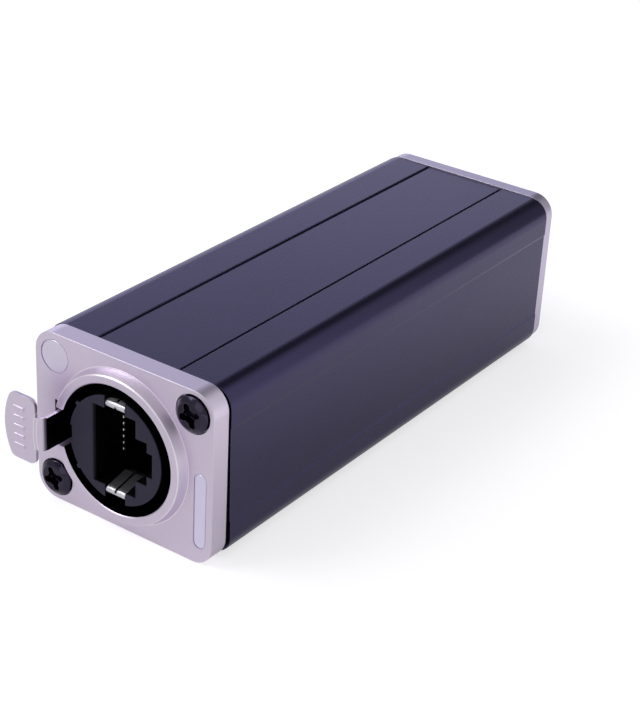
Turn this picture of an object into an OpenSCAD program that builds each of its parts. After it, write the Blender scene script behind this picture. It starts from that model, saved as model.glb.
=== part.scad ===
// Inline coupler: an extruded tube with a push-latch RJ45 socket in each end.
// Millimetres. The origin is on the front socket's axis, in the front flange's face.
// +Y runs through the part, +X is right seen from the front, +Z is up.

/* [Housing] */
// Length over both flange faces
total_l = 87.2; // [80:0.1:130]
// How far the housing stands out past the flanges at the sides
body_out_x = 0.25; // [0:0.05:0.5]
// How far the housing stays inside the flanges at the top and bottom
body_in_z = 0.15; // [0.02:0.01:0.3]
// Corner radius of the housing
body_r = 3; // [2.5:0.1:4]
// Wall of the housing outside the screw channels
body_wall = 1.4; // [1.1:0.1:1.6]
// Width of the sunk strips on the top and bottom
strip_top_w = 14.4; // [8:0.2:18]
// Width of the sunk strips on the two sides
strip_side_w = 14.7; // [8:0.1:16]
// Depth of the sunk strips
strip_depth = 0.1; // [0.1:0.05:0.5]
// Width of the sloping edges of the side strips
strip_slope = 0.4; // [0.1:0.05:0.8]
// Width of the grooves along the top and bottom strips
seam_w = 0.4; // [0.2:0.05:0.5]
// Depth of those grooves
seam_depth = 0.35; // [0.2:0.05:0.5]
// Wall of the four screw channels
channel_wall = 1.4; // [1:0.1:1.6]
// Thickness of the seal behind the front flange at its top edge
seal_top_t = 0.15; // [0.1:0.05:0.5]
// How much thicker the seal is at its bottom edge, where the housing's cut runs away
seal_taper = 0.6; // [0:0.05:1]
// How far the seal stays inside the housing's outline
seal_inset = 0.35; // [0.2:0.05:0.6]

/* [Plug opening] */
// Width of the opening, along the row of contacts
plug_w = 11.96; // [11.8:0.02:12.1]
// Height of the opening
plug_h = 7.25; // [7:0.05:7.4]
// Depth of the opening from the insert's face
plug_depth = 14; // [13:0.5:15]
// Lead-in chamfer on the contact side
lead_in = 0.35; // [0.2:0.05:0.5]
// Width of the latch step
latch_step_w = 6.6; // [6.2:0.1:7]
// Height of the latch step
latch_step_h = 1.93; // [1.6:0.01:2]
// Width of the latch groove above the step
latch_groove_w = 3.7; // [3.2:0.1:4]
// Height of the latch groove
latch_groove_h = 0.92; // [0.6:0.02:1]
// Depth of the latch step and groove from the insert's face
latch_depth = 9; // [7:0.5:11]

/* [Socket] */
// Wall of the moulded insert beside the plug opening
insert_wall = 2.07; // [1.9:0.01:2.3]
// Height of the insert's face above the flange face
insert_face_h = 1.5; // [1:0.1:1.6]
// Width of the ring gap round the insert
gap_w = 1.58; // [1.4:0.02:1.8]
// Depth of the ring gap behind the flange face
gap_depth = 15; // [14:0.5:17]
// Thickness of the insert's foot that fills the bore
foot_t = 3; // [2:0.5:4]
// Thickness of the cover's rim behind the foot
cover_t = 3; // [2:0.5:4]
// Wall of the barrel behind the flange
barrel_wall = 1.27; // [1:0.01:1.4]
// Wall of the collar where it leaves the flange
collar_base_w = 1.77; // [1.6:0.01:2]
// Wall of the collar at its rim
collar_rim_w = 1.32; // [1:0.01:1.5]
// Height of the collar
collar_h = 1.6; // [1:0.1:2.5]
// Chamfer on both edges of the collar's rim
rim_edge = 0.18; // [0.1:0.02:0.3]

/* [Flanges] */
// Width of a flange
flange_w = 31; // [30:0.1:33]
// Height of a flange
flange_h = 26; // [25.5:0.1:28]
// Corner radius of a flange
flange_r = 3.3; // [2.5:0.1:4]
// Thickness of the front flange
front_flange_t = 3.1; // [2.6:0.1:4]
// Thickness of the rear flange
rear_flange_t = 2.2; // [1.8:0.1:3]
// Distance of the screws from the flange's edges
screw_edge = 3.5; // [3.3:0.1:3.7]
// Radius of the counterbores
sink_r = 2.85; // [2.75:0.05:3]
// Depth of the counterbores
sink_depth = 1; // [0.6:0.1:1.2]
// Height of a screw head
head_h = 1.8; // [1.6:0.1:2.2]
// Depth of the shallow marks in the flange face
mark_depth = 0.2; // [0.1:0.05:0.3]
// Radius of the round mark
round_mark_r = 2.5; // [2:0.1:2.8]
// Width of the label groove
groove_w = 2.1; // [1.5:0.1:2.4]
// Length of the label groove
groove_l = 11.6; // [8:0.2:12]

/* [Contacts] */
// Distance between two contacts
pitch = 1.016; // [1:0.002:1.04]
// Width of a contact wire
wire_w = 0.45; // [0.35:0.05:0.5]
// Thickness of a contact wire
wire_t = 0.35; // [0.25:0.05:0.4]
// Distance of the wires' bend behind the insert's face
bend_depth = 5.75; // [5.5:0.05:6]
// How far the wires' ends stand into the plug opening
wire_rise = 1.9; // [1.2:0.1:2.2]
// Length of the wires' tails on the board
tail_l = 3; // [2:0.5:5]
// Width of a shield spring
spring_w = 3.3; // [3:0.1:3.5]
// Thickness of the springs' sheet
spring_t = 0.2; // [0.15:0.01:0.25]
// How far the inner leaves lean into the opening
spring_lean = 1; // [0.8:0.05:1.4]

/* [Latch] */
// Width of the lever's strap
strap_w = 5; // [4.4:0.1:5.4]
// Thickness of the lever's sheet
strap_t = 0.6; // [0.5:0.05:0.9]
// Clearance of the strap in its slot, each side
strap_gap = 0.4; // [0.2:0.05:0.5]
// Room outside the strap for the release stroke
stroke_room = 1.8; // [1.6:0.05:1.9]
// Wall round the latch slot behind the flange
slot_wall = 0.6; // [0.5:0.05:0.7]
// Radius of the hinge pin
pin_r = 0.6; // [0.5:0.05:0.65]
// Clearance of the hinge pin in the lever
pin_gap = 0.05; // [0.03:0.01:0.08]
// Width of the push tab
tab_w = 10.1; // [9:0.1:12]
// Reach of the push tab outside the strap
tab_reach = 6.8; // [6:0.1:9]
// Radius of the push tab's outer edge
tab_r = 10.5; // [9:0.5:14]
// Height of the push tab above the flange face
tab_h = 4.7; // [4:0.1:6]

/* [Inside] */
// Thickness of the board that joins the sockets
board_t = 1.6; // [1.2:0.1:1.8]
// Gap between the board's long edges and the bore
board_gap = 0.24; // [0.1:0.02:1]
// Clearance between assembled pieces
fit_gap = 0.05; // [0.02:0.01:0.1]
// Clearance of the insert's foot and the cover in the bore
foot_gap = 0.03; // [0.02:0.01:0.1]

/* [Hidden] */
$fn = 64;
CONTACTS = 8;

// One overrun serves every cut.
cut = 1;

// Socket: everything round the plug opening grows outwards from it.
insert_r = plug_w / 2 + insert_wall;
bore_r = insert_r + gap_w;
barrel_r = bore_r + barrel_wall;
collar_base_r = bore_r + collar_base_w;
collar_rim_r = bore_r + collar_rim_w;
insert_l = gap_depth + foot_t;
barrel_l = insert_l + cover_t;
plug_end_y = plug_depth - insert_face_h;
latch_end_y = latch_depth - insert_face_h;
ear_r = 0.35;
ear_z = 4.85;
flat_w = 2.2;
flat_depth = 0.35;

// Flanges and housing
screw_x = flange_w / 2 - screw_edge;
screw_z = flange_h / 2 - screw_edge;
body_w = flange_w + 2 * body_out_x;
body_h = flange_h - 2 * body_in_z;
round_step = 0.6;
foot_step_w = 0.12;
foot_step_h = 0.08;

// Contacts: the straight run lies on the holder, beside the plug opening.
wire_bury = 0.975;
wire_run_x = plug_h / 2 + wire_bury;
wire_bend_y = bend_depth - insert_face_h;
wire_back_room = 1.3;
wire_tip_y = plug_end_y - wire_back_room;
row_w = (CONTACTS - 1) * pitch + wire_w;
holder_t = 1.05;
holder_w = row_w + 2 * wire_w;
holder_front_y = wire_bend_y + wire_t;

// Board and cover: the cover's block grips the board's end.
board_x = wire_run_x + wire_t / 2;
board_w = 2 * (sqrt(pow(bore_r, 2) - pow(board_x + board_t, 2)) - board_gap);
cover_block_t = 3;
cover_wall = 1.2;
holder_end_y = insert_l + 2 * cover_t / 3;
board_end_gap = 0.3;
board_y = holder_end_y + board_end_gap;
tail_y = barrel_l + cover_block_t + tail_l;

// Shield springs: the hook sits on a thinned part of the insert's wall.
notch_w = spring_w + 0.3;
notch_depth = 0.6;
notch_in = 0.43;
notch_wall = 0.57;
notch_l = 7.5;
notch_end_y = notch_depth - insert_face_h;
spring_in_z = plug_w / 2 + notch_in;
spring_out_z = spring_in_z + notch_wall;
leaf_slit = 0.35;

// Latch lever: the strap runs just outside the bore, and its eye is offset outwards.
strap_out = 0.37;
strap_x = bore_r + strap_out;
eye_r = 1.3;
eye_out = 0.4;
eye_gap = 0.7;
pivot_x = strap_x + eye_out;
pivot_y = gap_depth - eye_r - eye_gap;
slot_w = strap_w + 2 * strap_gap;
slot_x = strap_x + strap_t / 2 + stroke_room;
slot_l = gap_depth - eye_gap / 3;
ear_wall = 1.5;
pin_sink = 0.2;
pin_l = slot_w + 2 * (ear_wall - pin_sink);
neck_l = 1.1;
tab_corner_r = 1.1;
tab_x = strap_x + tab_reach;
tab_in_x = strap_x + neck_l;
tab_top_y = -tab_h - strap_t / 2;
hook_h = 0.8;
hook_y = 4.5;
hook_l = 2.2;
leaf_w = 2.8;
leaf_t = 0.25;
leaf_eye_gap = 0.6;
leaf_end_y = pivot_y - eye_r - leaf_eye_gap;

// Grip bars on the push tab
bar_w = 0.55;
bar_l = 1.9;
bar_h = 0.2;
bar_pitch = 1.45;
bar_count = 5;
bar_edge = 2.75;
bar_x = tab_x - bar_edge;

// Screws
head_gap = 0.2;
head_r = sink_r - head_gap;
head_edge_w = 0.7;
head_edge_h = 0.5;
shank_r = 1.45;
shank_l = 11;
cross_l = 3.5;
cross_w = 0.95;
cross_core_r = 1;
cross_depth = 1.2;
cross_turn = 23;

// Flat outlines are drawn in X and Z and run along Y from one depth to another.
module run_y(from, to) {
    translate([0, to, 0]) rotate([90, 0, 0]) linear_extrude(to - from) children();
}

// Flat outlines drawn in Y and Z run along X, centred on the axis.
module run_x(w) {
    translate([-w / 2, 0, 0]) rotate([90, 0, 90]) linear_extrude(w) children();
}

// A box given by its two opposite corners.
module box(lo, hi) {
    translate(lo) cube(hi - lo);
}

// A rectangle with round corners, centred.
module round_rect(w, h, r) {
    square([w - 2 * r, h], center = true);
    square([w, h - 2 * r], center = true);
    for (sx = [-1, 1]) for (sz = [-1, 1]) translate([sx * (w / 2 - r), sz * (h / 2 - r)]) circle(r);
}

// A slot with round ends, centred and standing up.
module stadium(w, l) {
    square([w, l - w], center = true);
    for (s = [-1, 1]) translate([0, s * (l - w) / 2]) circle(w / 2);
}

// A bent strip along a path, with round joints.
module strip(path, t) {
    for (i = [0:len(path) - 1]) translate(path[i]) circle(t / 2, $fn = 24);
    for (i = [0:len(path) - 2]) {
        d = path[i + 1] - path[i];
        translate(path[i]) rotate(atan2(d[1], d[0])) translate([0, -t / 2]) square([norm(d), t]);
    }
}

// Half a ring that opens to the right.
module half_ring(r, t) {
    difference() {
        circle(r + t / 2);
        circle(r - t / 2);
        translate([0, -r - t]) square([r + t, 2 * (r + t)]);
    }
}

// The rear end is the front end turned half round about X.
module at_end(end) {
    if (end == "rear") translate([0, total_l, 0]) rotate([180, 0, 0]) children();
    else children();
}

function flange_t(end) = end == "rear" ? rear_flange_t : front_flange_t;

// Housing

// The housing's front cut leans, so the seal behind the flange is a wedge.
function seal_t(z) = seal_top_t + seal_taper * (flange_h / 2 - z) / flange_h;

module in_front_of_cut() {
    z_top = body_h / 2 + cut;
    z_low = -z_top;
    run_x(body_w + 2 * cut) polygon([
        [front_flange_t - cut, z_low],
        [front_flange_t + seal_t(z_low), z_low],
        [front_flange_t + seal_t(z_top), z_top],
        [front_flange_t - cut, z_top]
    ]);
}

// A sunk strip in a face that looks up, with its edges sloping over a width.
module sunk_strip(w, slope) {
    polygon([
        [-w / 2, 0],
        [slope - w / 2, -strip_depth],
        [w / 2 - slope, -strip_depth],
        [w / 2, 0],
        [w / 2, cut],
        [-w / 2, cut]
    ]);
}

module body_outline() {
    difference() {
        round_rect(body_w, body_h, body_r);
        for (turn = [0, 180]) rotate(turn) translate([0, body_h / 2]) {
            sunk_strip(strip_top_w, 0);
            for (s = [-1, 1]) translate([s * (strip_top_w - seam_w) / 2 - seam_w / 2, -seam_depth])
                square([seam_w, seam_depth + cut]);
        }
        for (turn = [-90, 90]) rotate(turn) translate([0, body_w / 2])
            sunk_strip(strip_side_w, strip_slope);
    }
}

// The room that a socket's barrel and latch pocket take behind the flange.
module socket_room() {
    circle(barrel_r + fit_gap);
    translate([-slot_x - slot_wall - fit_gap, -slot_w / 2 - ear_wall - fit_gap])
        square([slot_x + slot_wall, slot_w + 2 * (ear_wall + fit_gap)]);
}

// The housing's four screw channels
module at_channels() {
    for (sx = [-1, 1]) for (sz = [-1, 1]) translate([sx * screw_x, sz * screw_z]) children();
}

module body_tube() {
    color("#49445a") difference() {
        run_y(front_flange_t, total_l - rear_flange_t) difference() {
            body_outline();
            difference() {
                round_rect(body_w - 2 * body_wall, body_h - 2 * body_wall, body_r - body_wall);
                at_channels() circle(shank_r + channel_wall);
            }
            at_channels() circle(shank_r + fit_gap);
            socket_room();
        }
        in_front_of_cut();
    }
}

module front_gasket() {
    color("#0c0c0e") intersection() {
        run_y(front_flange_t, front_flange_t + seal_top_t + seal_taper + cut) difference() {
            round_rect(body_w - 2 * seal_inset, body_h - 2 * seal_inset, body_r - seal_inset);
            socket_room();
            for (s = [-1, 1]) translate([s * screw_x, s * screw_z]) circle(shank_r + fit_gap);
        }
        in_front_of_cut();
    }
}

module link_board() {
    color("#1d5a3a")
        box([-board_x - board_t, board_y, -board_w / 2], [-board_x, total_l - board_y, board_w / 2]);
}

// Socket shells

module shell(end) {
    t = flange_t(end);
    color("#c8bccf") at_end(end) difference() {
        union() {
            run_y(0, t) round_rect(flange_w, flange_h, flange_r);
            run_y(0, barrel_l) circle(barrel_r);
            rotate([-90, 0, 0]) rotate_extrude() polygon([
                [bore_r - rim_edge, 0],
                [collar_base_r + foot_step_w, 0],
                [collar_base_r + foot_step_w, -foot_step_h],
                [collar_base_r, -foot_step_h],
                [collar_rim_r, rim_edge - collar_h],
                [collar_rim_r - rim_edge, -collar_h],
                [bore_r + rim_edge, -collar_h],
                [bore_r - rim_edge, 2 * rim_edge - collar_h]
            ]);
            box([-slot_x - slot_wall, 0, -slot_w / 2 - ear_wall],
                [0, slot_l + slot_wall, slot_w / 2 + ear_wall]);
        }
        run_y(-collar_h - cut, barrel_l + cut) circle(bore_r);
        box([-slot_x, -collar_h - cut, -slot_w / 2], [0, slot_l, slot_w / 2]);
        translate([-pivot_x, pivot_y, 0]) cylinder(h = pin_l, r = pin_r + fit_gap / 2, center = true);
        for (s = [-1, 1]) translate([s * screw_x, 0, s * screw_z]) {
            run_y(-cut, sink_depth) circle(sink_r);
            run_y(-cut, t + cut) circle(shank_r + 2 * fit_gap);
        }
        translate([-screw_x, 0, screw_z]) {
            run_y(-cut, mark_depth) circle(round_mark_r);
            run_y(-cut, 2 * mark_depth) circle(round_mark_r - round_step);
        }
        translate([screw_x + sink_r / 2, 0, -screw_z / 2])
            run_y(-cut, mark_depth) stadium(groove_w, groove_l);
    }
}

// Moulded insert

module spring_notch() {
    // The rim is cut back for the hook, and the wall is thinned on both sides for the leaves.
    box([-notch_w / 2, -insert_face_h - cut, plug_w / 2 - cut], [notch_w / 2, notch_end_y, insert_r + cut]);
    box([-notch_w / 2, -insert_face_h - cut, plug_w / 2 - cut], [notch_w / 2, notch_l, spring_in_z]);
    box([-notch_w / 2, -insert_face_h - cut, spring_out_z], [notch_w / 2, notch_l, insert_r + cut]);
}

module insert(end) {
    color("#3a3644") at_end(end) difference() {
        union() {
            run_y(-insert_face_h, insert_l) circle(insert_r);
            run_y(gap_depth, insert_l) circle(bore_r - foot_gap);
            for (s = [-1, 1]) translate([-sqrt(pow(insert_r, 2) - pow(ear_z, 2)) - ear_r / 3, 0, s * ear_z])
                run_y(-insert_face_h, gap_depth) circle(ear_r);
        }
        box([-plug_h / 2, -insert_face_h - cut, -plug_w / 2], [plug_h / 2, plug_end_y, plug_w / 2]);
        linear_extrude(plug_w, center = true) polygon([
            [0, -insert_face_h - cut],
            [-plug_h / 2 - lead_in - cut, -insert_face_h - cut],
            [-plug_h / 2, lead_in - insert_face_h],
            [0, lead_in - insert_face_h]
        ]);
        box([0, -insert_face_h - cut, -latch_step_w / 2],
            [plug_h / 2 + latch_step_h, latch_end_y, latch_step_w / 2]);
        box([0, -insert_face_h - cut, -latch_groove_w / 2],
            [plug_h / 2 + latch_step_h + latch_groove_h, latch_end_y, latch_groove_w / 2]);
        box([-board_x - holder_t - fit_gap, wire_bend_y - wire_t, -holder_w / 2 - fit_gap],
            [-plug_h / 2, insert_l + cut, holder_w / 2 + fit_gap]);
        box([-wire_run_x, wire_bend_y - wire_t, -holder_w / 2 - fit_gap],
            [0, plug_end_y, holder_w / 2 + fit_gap]);
        box([-insert_r - cut, -insert_face_h - cut, -flat_w / 2],
            [-insert_r + flat_depth, gap_depth, flat_w / 2]);
        for (s = [0, 1]) mirror([0, 0, s]) spring_notch();
    }
}

module back_cover(end) {
    color("#26242c") at_end(end) difference() {
        union() {
            run_y(insert_l, barrel_l) circle(bore_r - foot_gap);
            box([-board_x - board_t - cover_wall, barrel_l, -board_w / 2 - cover_wall],
                [-plug_h / 2 + cover_wall, barrel_l + cover_block_t, board_w / 2 + cover_wall]);
        }
        box([-board_x - board_t - fit_gap, insert_l - cut, -board_w / 2 - fit_gap],
            [-plug_h / 2, barrel_l + cover_block_t + cut, board_w / 2 + fit_gap]);
    }
}

module contact_holder(end) {
    color("#201f24") at_end(end)
        box([-board_x - holder_t, holder_front_y, -holder_w / 2], [-board_x, holder_end_y, holder_w / 2]);
}

// Contacts

module contact(end, i) {
    z = (i - (CONTACTS + 1) / 2) * pitch;
    path = [
        [-plug_h / 2 + wire_rise, wire_tip_y],
        [-plug_h / 2 + wire_t / 2, wire_bend_y],
        [-wire_run_x, wire_bend_y + 2 * wire_t],
        [-wire_run_x, tail_y]
    ];
    color("#d9b25a") at_end(end) translate([0, 0, -z])
        linear_extrude(wire_w, center = true) strip(path, wire_t);
}

// Shield springs

// A hook round the insert's wall, with an inner and an outer leaf, each slit in two.
module shield_spring(end, side) {
    wall_z = (spring_in_z + spring_out_z) / 2;
    hook_r = notch_wall / 2 + 3 * spring_t / 4;
    inner_leaf = [
        [notch_end_y, wall_z - hook_r],
        [notch_l / 3, spring_in_z - spring_lean],
        [notch_l / 2, spring_in_z - spring_lean / 2]
    ];
    outer_leaf = [
        [notch_end_y, wall_z + hook_r],
        [notch_l / 3, bore_r - 5 * spring_t],
        [3 * notch_l / 4, spring_out_z + spring_t]
    ];
    color("#dcdce6") at_end(end) mirror([0, 0, side]) difference() {
        run_x(spring_w) {
            translate([notch_end_y, wall_z]) half_ring(hook_r, spring_t);
            strip(inner_leaf, spring_t);
            strip(outer_leaf, spring_t);
        }
        box([-leaf_slit / 2, -insert_face_h, 0], [leaf_slit / 2, notch_l, wall_z]);
        box([-leaf_slit / 2, notch_end_y, spring_out_z], [leaf_slit / 2, notch_l, bore_r]);
    }
}

// Latch lever

module tab_outline() {
    big_x = -tab_x + tab_r;
    corner_z = tab_w / 2 - tab_corner_r;
    corner_x = big_x - sqrt(pow(tab_r - tab_corner_r, 2) - pow(corner_z, 2));
    reach = 2 * tab_r / (big_x - corner_x);
    inner_x = -tab_in_x - tab_corner_r;
    intersection() {
        translate([big_x, 0]) circle(tab_r);
        polygon([
            [big_x, 0],
            [big_x + reach * (corner_x - big_x), reach * corner_z],
            [big_x + reach * (corner_x - big_x), -reach * corner_z]
        ]);
        translate([-tab_in_x - 2 * tab_r, -tab_w / 2]) square([2 * tab_r, tab_w]);
    }
    for (s = [-1, 1]) {
        translate([corner_x, s * corner_z]) circle(tab_corner_r);
        translate([inner_x, s * corner_z]) circle(tab_corner_r);
    }
    translate([corner_x, -tab_w / 2]) square([inner_x - corner_x, tab_w]);
    translate([corner_x, -corner_z]) square([-tab_in_x - corner_x, 2 * corner_z]);
}

module latch(end) {
    strap_path = [
        [-tab_in_x - strap_t, -tab_h],
        [-strap_x - strap_t, -tab_h],
        [-strap_x - strap_t / 4, -tab_h + strap_t / 3],
        [-strap_x, -tab_h + 5 * strap_t / 4],
        [-strap_x, pivot_y]
    ];
    color("#beb2c8") at_end(end) difference() {
        union() {
            linear_extrude(strap_w, center = true) {
                strip(strap_path, strap_t);
                translate([-pivot_x, pivot_y]) circle(eye_r);
                polygon([
                    [-strap_x, hook_y],
                    [-strap_x + strap_t / 2 + hook_h, hook_y + hook_l / 4],
                    [-strap_x + strap_t / 2 + hook_h, hook_y + hook_l / 2],
                    [-strap_x, hook_y + hook_l]
                ]);
            }
            run_y(tab_top_y, tab_top_y + strap_t) tab_outline();
            for (i = [0:bar_count - 1]) translate([-bar_x, 0, (i - (bar_count - 1) / 2) * bar_pitch])
                run_y(tab_top_y - bar_h, tab_top_y + bar_h) square([bar_l, bar_w], center = true);
        }
        translate([-pivot_x, pivot_y, 0])
            cylinder(h = strap_w + 2 * cut, r = pin_r + pin_gap, center = true);
    }
}

module latch_pin(end) {
    color("#9a9aa4") at_end(end) translate([-pivot_x, pivot_y, 0])
        cylinder(h = pin_l, r = pin_r, center = true);
}

module latch_spring(end) {
    wall_x = -slot_x + leaf_t / 2 + fit_gap / 2;
    lever_x = -strap_x - strap_t / 2 - leaf_t / 2 - fit_gap / 2;
    path = [[wall_x, hook_y], [lever_x, (hook_y + leaf_end_y) / 2], [wall_x, leaf_end_y]];
    color("#c4c4cc") at_end(end) linear_extrude(leaf_w, center = true) strip(path, leaf_t);
}

// Screws

module screw(end, side) {
    top_y = sink_depth - head_h;
    color("#17161a") at_end(end) translate([side * screw_x, 0, side * screw_z]) difference() {
        union() {
            translate([0, sink_depth, 0]) rotate([-90, 0, 0]) rotate_extrude() polygon([
                [0, 0],
                [head_r, 0],
                [head_r, head_edge_h - head_h],
                [head_r - head_edge_w, -head_h],
                [0, -head_h]
            ]);
            run_y(0, sink_depth + shank_l) circle(shank_r);
        }
        run_y(top_y - cut, top_y + cross_depth) {
            for (turn = [0, 90]) rotate(cross_turn + turn) stadium(cross_w, cross_l);
            circle(cross_core_r);
        }
    }
}

body_tube();
front_gasket();
link_board();
for (end = ["front", "rear"]) {
    shell(end);
    insert(end);
    back_cover(end);
    contact_holder(end);
    shield_spring(end, 0);
    shield_spring(end, 1);
    latch(end);
    latch_pin(end);
    latch_spring(end);
    screw(end, 1);
    screw(end, -1);
    for (i = [1:CONTACTS]) contact(end, i);
}
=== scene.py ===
# Inline coupler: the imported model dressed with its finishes, in a soft studio.
import math

import bmesh
import bpy
from mathutils import Matrix, Vector


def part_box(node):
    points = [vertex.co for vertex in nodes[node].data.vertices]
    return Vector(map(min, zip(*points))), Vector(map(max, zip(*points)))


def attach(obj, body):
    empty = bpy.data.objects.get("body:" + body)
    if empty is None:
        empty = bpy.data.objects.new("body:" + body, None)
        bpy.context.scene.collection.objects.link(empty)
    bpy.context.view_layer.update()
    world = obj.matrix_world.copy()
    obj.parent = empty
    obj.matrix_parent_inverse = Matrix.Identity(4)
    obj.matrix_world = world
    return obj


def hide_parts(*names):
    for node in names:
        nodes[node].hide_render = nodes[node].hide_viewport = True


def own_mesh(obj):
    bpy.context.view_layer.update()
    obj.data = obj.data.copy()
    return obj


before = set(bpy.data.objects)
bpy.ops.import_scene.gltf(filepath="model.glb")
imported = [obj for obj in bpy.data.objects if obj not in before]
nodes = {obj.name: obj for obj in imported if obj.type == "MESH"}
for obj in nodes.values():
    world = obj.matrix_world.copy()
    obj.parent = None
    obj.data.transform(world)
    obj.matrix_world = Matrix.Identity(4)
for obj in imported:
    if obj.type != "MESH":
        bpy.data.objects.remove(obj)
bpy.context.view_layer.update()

MM = 0.001
ENDS = ("front", "rear")


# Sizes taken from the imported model

def box_mm(name):
    """A node's lowest and highest corners, in millimetres."""
    low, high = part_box(name)
    return [c / MM for c in low], [c / MM for c in high]


FOOT_GAP = 0.03
bore_r = box_mm("front_insert")[1][0] + FOOT_GAP
insert_low_y = box_mm("front_insert")[0][1]
middle_y = (insert_low_y + box_mm("rear_insert")[1][1]) / 2
wire_bend_y = 4.25
strap_face_x = -9.7
strap_bend_y = -4.1
HOOK_OUT_R = 7.45
COLLAR_FOOT_R = 11.4
COLLAR_RIM_R = 10.95


# Node helpers

def new_tree_node(tree, kind, place, **values):
    """Adds a node, and sets its properties by name or its sockets by label."""
    node = tree.nodes.new(kind)
    node.location = place
    for name, value in values.items():
        if hasattr(node, name):
            setattr(node, name, value)
        else:
            node.inputs[name.replace("_", " ")].default_value = value
    return node


def new_material(name):
    """An empty material with its shader and output; gives the material, its tree and the shader."""
    material = bpy.data.materials.new(name)
    material.use_nodes = True
    tree = material.node_tree
    tree.nodes.clear()
    output = new_tree_node(tree, "ShaderNodeOutputMaterial", (600, 0))
    shader = new_tree_node(tree, "ShaderNodeBsdfPrincipled", (300, 0))
    tree.links.new(shader.outputs["BSDF"], output.inputs["Surface"])
    return material, tree, shader


def new_effect(name, inputs, outputs):
    """An empty node group with named float sockets; gives the tree, its input node and its output node."""
    tree = bpy.data.node_groups.new(name, "ShaderNodeTree")
    for label, kind, value in inputs:
        socket = tree.interface.new_socket(label, in_out="INPUT", socket_type=kind)
        socket.default_value = value
    for label, kind in outputs:
        tree.interface.new_socket(label, in_out="OUTPUT", socket_type=kind)
    start = new_tree_node(tree, "NodeGroupInput", (-800, 0))
    end = new_tree_node(tree, "NodeGroupOutput", (600, 0))
    return tree, start, end


FLOAT = "NodeSocketFloat"
COLOR = "NodeSocketColor"


# Shared surface effects

def make_fine_grain():
    """Small even grain: a roughness that wavers and a height for a bump."""
    tree, start, end = new_effect("fine grain", [
        ("Size mm", FLOAT, 0.2), ("Roughness", FLOAT, 0.4), ("Spread", FLOAT, 0.1)
    ], [("Roughness", FLOAT), ("Height", FLOAT)])
    place = new_tree_node(tree, "ShaderNodeTexCoord", (-800, 300))
    scale = new_tree_node(tree, "ShaderNodeMath", (-600, 100), operation="DIVIDE")
    scale.inputs[0].default_value = 1 / MM
    grain = new_tree_node(tree, "ShaderNodeTexNoise", (-400, 200), Detail=3.0, Roughness=0.6)
    spread = new_tree_node(tree, "ShaderNodeMapRange", (0, 100))
    low = new_tree_node(tree, "ShaderNodeMath", (-200, -100), operation="SUBTRACT")
    high = new_tree_node(tree, "ShaderNodeMath", (-200, -250), operation="ADD")
    link = tree.links.new
    link(start.outputs["Size mm"], scale.inputs[1])
    link(place.outputs["Object"], grain.inputs["Vector"])
    link(scale.outputs[0], grain.inputs["Scale"])
    link(start.outputs["Roughness"], low.inputs[0])
    link(start.outputs["Spread"], low.inputs[1])
    link(start.outputs["Roughness"], high.inputs[0])
    link(start.outputs["Spread"], high.inputs[1])
    link(grain.outputs["Fac"], spread.inputs["Value"])
    link(low.outputs[0], spread.inputs["To Min"])
    link(high.outputs[0], spread.inputs["To Max"])
    link(spread.outputs["Result"], end.inputs["Roughness"])
    link(grain.outputs["Fac"], end.inputs["Height"])
    return tree


def make_drawn_lines():
    """Fine lines along the part, as extruding or rolling leaves them."""
    tree, start, end = new_effect("drawn lines", [
        ("Spacing mm", FLOAT, 0.15), ("Length mm", FLOAT, 40.0)
    ], [("Line", FLOAT)])
    place = new_tree_node(tree, "ShaderNodeTexCoord", (-800, 300))
    across = new_tree_node(tree, "ShaderNodeMath", (-600, 100), operation="DIVIDE")
    across.inputs[0].default_value = 1 / MM
    along = new_tree_node(tree, "ShaderNodeMath", (-600, -80), operation="DIVIDE")
    along.inputs[0].default_value = 1 / MM
    axes = new_tree_node(tree, "ShaderNodeCombineXYZ", (-400, 0))
    stretch = new_tree_node(tree, "ShaderNodeVectorMath", (-200, 200), operation="MULTIPLY")
    lines = new_tree_node(tree, "ShaderNodeTexNoise", (0, 200), Scale=1.0, Detail=2.0)
    link = tree.links.new
    link(start.outputs["Spacing mm"], across.inputs[1])
    link(start.outputs["Length mm"], along.inputs[1])
    link(across.outputs[0], axes.inputs["X"])
    link(along.outputs[0], axes.inputs["Y"])
    link(across.outputs[0], axes.inputs["Z"])
    link(place.outputs["Object"], stretch.inputs[0])
    link(axes.outputs[0], stretch.inputs[1])
    link(stretch.outputs[0], lines.inputs["Vector"])
    link(lines.outputs["Fac"], end.inputs["Line"])
    return tree


def make_cloudy_tone():
    """A colour that drifts a little between two shades over some millimetres."""
    tree, start, end = new_effect("cloudy tone", [
        ("Shade A", COLOR, (0.5, 0.5, 0.5, 1)), ("Shade B", COLOR, (0.4, 0.4, 0.4, 1)),
        ("Size mm", FLOAT, 6.0)
    ], [("Color", COLOR)])
    place = new_tree_node(tree, "ShaderNodeTexCoord", (-800, 300))
    scale = new_tree_node(tree, "ShaderNodeMath", (-600, 100), operation="DIVIDE")
    scale.inputs[0].default_value = 1 / MM
    cloud = new_tree_node(tree, "ShaderNodeTexNoise", (-400, 200), Detail=4.0, Roughness=0.55)
    mix = new_tree_node(tree, "ShaderNodeMix", (0, 0), data_type="RGBA")
    link = tree.links.new
    link(start.outputs["Size mm"], scale.inputs[1])
    link(place.outputs["Object"], cloud.inputs["Vector"])
    link(scale.outputs[0], cloud.inputs["Scale"])
    link(cloud.outputs["Fac"], mix.inputs["Factor"])
    link(start.outputs["Shade A"], mix.inputs[6])
    link(start.outputs["Shade B"], mix.inputs[7])
    link(mix.outputs[2], end.inputs["Color"])
    return tree


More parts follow.
